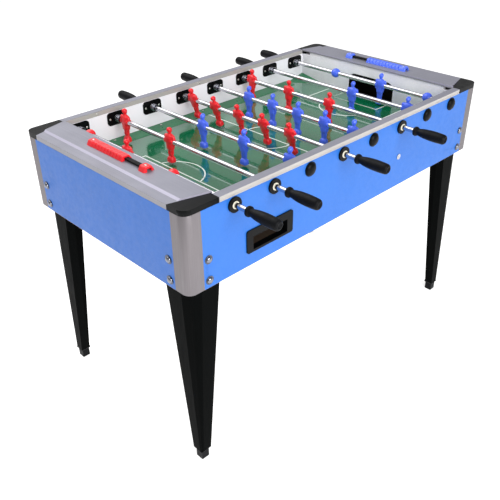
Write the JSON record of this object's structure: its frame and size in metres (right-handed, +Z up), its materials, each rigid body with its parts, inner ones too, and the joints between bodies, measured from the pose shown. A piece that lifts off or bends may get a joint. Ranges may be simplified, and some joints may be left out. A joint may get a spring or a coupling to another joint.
{
  "type": "foosball table",
  "caption": "Full-size foosball table: blue cabinet on tapered black legs, glossy green field, telescopic chrome rods with red and blue players, score counters and ball return.",
  "frame": {"origin": "on the floor under the middle of the table", "axes": "+X along the table towards the blue goalkeeper's end, +Y across it towards the blue team's handles, +Z up"},
  "size_m": [1.4056, 1.104, 0.9418],
  "materials": {
    "blue_laminate": "satin blue laminate on board, white laminate towards the field",
    "white_laminate": "satin white laminate on board",
    "silver_aluminium": "fine brushed, clear anodised",
    "black_gloss_plastic": "moulded, glossy",
    "black_matte_plastic": "moulded, fine grain",
    "green_gloss_field": "hard glossy laminate with white lines",
    "green_ramp_plastic": "moulded, satin",
    "board_brown": "plain hardboard",
    "chrome_plate": "polished",
    "core_steel": "drawn bright steel",
    "black_leg_wood": "black satin paint",
    "white_bush_plastic": "self-lubricating, cream",
    "red_team_plastic": "moulded, glossy",
    "blue_team_plastic": "moulded, glossy",
    "zinc_screw": "bright zinc"
  },
  "bodies": {
    "root": {"near_panel": "blue_laminate", "outer_panels": "blue_laminate", "corner_posts": "silver_aluminium", "corner_caps": "black_gloss_plastic", "top_rails": "silver_aluminium", "goal_walls": "white_laminate", "playfield": "green_gloss_field", "field_ramps": "green_ramp_plastic", "return_board": "board_brown", "ball_slot_frame": "black_gloss_plastic", "lock_housing": "chrome_plate", "legs": "black_leg_wood", "leg_bolts": "chrome_plate", "small_screws": "zinc_screw", "bearing_covers": "black_gloss_plastic", "bearing_rings": "white_bush_plastic", "wall_plates": "black_gloss_plastic", "buffer_springs": "chrome_plate", "score_bars": "black_matte_plastic", "red_score_rack": "red_team_plastic", "blue_score_rack": "blue_team_plastic"},
    "rod1_spinner": {"rod1_core": "core_steel"},
    "rod1": {"rod1_tube": "chrome_plate", "rod1_men": "red_team_plastic", "rod1_handle": "black_matte_plastic"},
    "rod2_spinner": {"rod2_core": "core_steel"},
    "rod2": {"rod2_tube": "chrome_plate", "rod2_men": "red_team_plastic", "rod2_handle": "black_matte_plastic"},
    "rod3_spinner": {"rod3_core": "core_steel"},
    "rod3": {"rod3_tube": "chrome_plate", "rod3_men": "blue_team_plastic", "rod3_handle": "black_matte_plastic"},
    "rod4_spinner": {"rod4_core": "core_steel"},
    "rod4": {"rod4_tube": "chrome_plate", "rod4_men": "red_team_plastic", "rod4_handle": "black_matte_plastic"},
    "rod5_spinner": {"rod5_core": "core_steel"},
    "rod5": {"rod5_tube": "chrome_plate", "rod5_men": "blue_team_plastic", "rod5_handle": "black_matte_plastic"},
    "rod6_spinner": {"rod6_core": "core_steel"},
    "rod6": {"rod6_tube": "chrome_plate", "rod6_men": "red_team_plastic", "rod6_handle": "black_matte_plastic"},
    "rod7_spinner": {"rod7_core": "core_steel"},
    "rod7": {"rod7_tube": "chrome_plate", "rod7_men": "blue_team_plastic", "rod7_handle": "black_matte_plastic"},
    "rod8_spinner": {"rod8_core": "core_steel"},
    "rod8": {"rod8_tube": "chrome_plate", "rod8_men": "blue_team_plastic", "rod8_handle": "black_matte_plastic"},
    "foot_near_left_body": {"foot_near_left": "black_matte_plastic"},
    "foot_near_right_body": {"foot_near_right": "black_matte_plastic"},
    "foot_far_left_body": {"foot_far_left": "black_matte_plastic"},
    "foot_far_right_body": {"foot_far_right": "black_matte_plastic"},
    "lock_turning": {"lock_plug": "chrome_plate"},
    "red_score": {"red_score_lead": "red_team_plastic"},
    "blue_score": {"blue_score_lead": "blue_team_plastic"}
  },
  "joints": [
    {"name": "rod1_turn", "type": "hinge", "parent": "root", "child": "rod1_spinner", "pos_m": [-0.525, 0, 0.88], "axis": [0, 1, 0], "range_deg": [-215, 34]},
    {"name": "rod1_push", "type": "slide", "parent": "rod1_spinner", "child": "rod1", "axis": [0, -1, 0], "range_m": [-0.0234, 0.1814]},
    {"name": "rod2_turn", "type": "hinge", "parent": "root", "child": "rod2_spinner", "pos_m": [-0.375, 0, 0.88], "axis": [0, 1, 0], "continuous": true},
    {"name": "rod2_push", "type": "slide", "parent": "rod2_spinner", "child": "rod2", "axis": [0, -1, 0], "range_m": [0, 0.3758]},
    {"name": "rod3_turn", "type": "hinge", "parent": "root", "child": "rod3_spinner", "pos_m": [-0.225, 0, 0.88], "axis": [0, 1, 0], "continuous": true},
    {"name": "rod3_push", "type": "slide", "parent": "rod3_spinner", "child": "rod3", "axis": [0, 1, 0], "range_m": [0, 0.2258]},
    {"name": "rod4_turn", "type": "hinge", "parent": "root", "child": "rod4_spinner", "pos_m": [-0.075, 0, 0.88], "axis": [0, 1, 0], "continuous": true},
    {"name": "rod4_push", "type": "slide", "parent": "rod4_spinner", "child": "rod4", "axis": [0, -1, 0], "range_m": [0, 0.1358]},
    {"name": "rod5_turn", "type": "hinge", "parent": "root", "child": "rod5_spinner", "pos_m": [0.075, 0, 0.88], "axis": [0, 1, 0], "continuous": true},
    {"name": "rod5_push", "type": "slide", "parent": "rod5_spinner", "child": "rod5", "axis": [0, 1, 0], "range_m": [0, 0.1358]},
    {"name": "rod6_turn", "type": "hinge", "parent": "root", "child": "rod6_spinner", "pos_m": [0.225, 0, 0.88], "axis": [0, 1, 0], "continuous": true},
    {"name": "rod6_push", "type": "slide", "parent": "rod6_spinner", "child": "rod6", "axis": [0, -1, 0], "range_m": [0, 0.2258]},
    {"name": "rod7_turn", "type": "hinge", "parent": "root", "child": "rod7_spinner", "pos_m": [0.375, 0, 0.88], "axis": [0, 1, 0], "continuous": true},
    {"name": "rod7_push", "type": "slide", "parent": "rod7_spinner", "child": "rod7", "axis": [0, 1, 0], "range_m": [0, 0.3758]},
    {"name": "rod8_turn", "type": "hinge", "parent": "root", "child": "rod8_spinner", "pos_m": [0.525, 0, 0.88], "axis": [0, 1, 0], "range_deg": [-34, 215]},
    {"name": "rod8_push", "type": "slide", "parent": "rod8_spinner", "child": "rod8", "axis": [0, 1, 0], "range_m": [-0.0234, 0.1814]},
    {"name": "foot_near_left_screw", "type": "slide", "parent": "root", "child": "foot_near_left_body", "axis": [0, 0, -1], "range_m": [0, 0.015]},
    {"name": "foot_near_right_screw", "type": "slide", "parent": "root", "child": "foot_near_right_body", "axis": [0, 0, -1], "range_m": [0, 0.015]},
    {"name": "foot_far_left_screw", "type": "slide", "parent": "root", "child": "foot_far_left_body", "axis": [0, 0, -1], "range_m": [0, 0.015]},
    {"name": "foot_far_right_screw", "type": "slide", "parent": "root", "child": "foot_far_right_body", "axis": [0, 0, -1], "range_m": [0, 0.015]},
    {"name": "lock_turn", "type": "hinge", "parent": "root", "child": "lock_turning", "pos_m": [0.228, -0.38, 0.773], "axis": [0, 1, 0], "range_deg": [0, 90]},
    {"name": "red_score_slide", "type": "slide", "parent": "root", "child": "red_score", "axis": [0, -1, 0], "range_m": [0, 0.0734]},
    {"name": "blue_score_slide", "type": "slide", "parent": "root", "child": "blue_score", "axis": [0, 1, 0], "range_m": [0, 0.0734]}
  ]
}
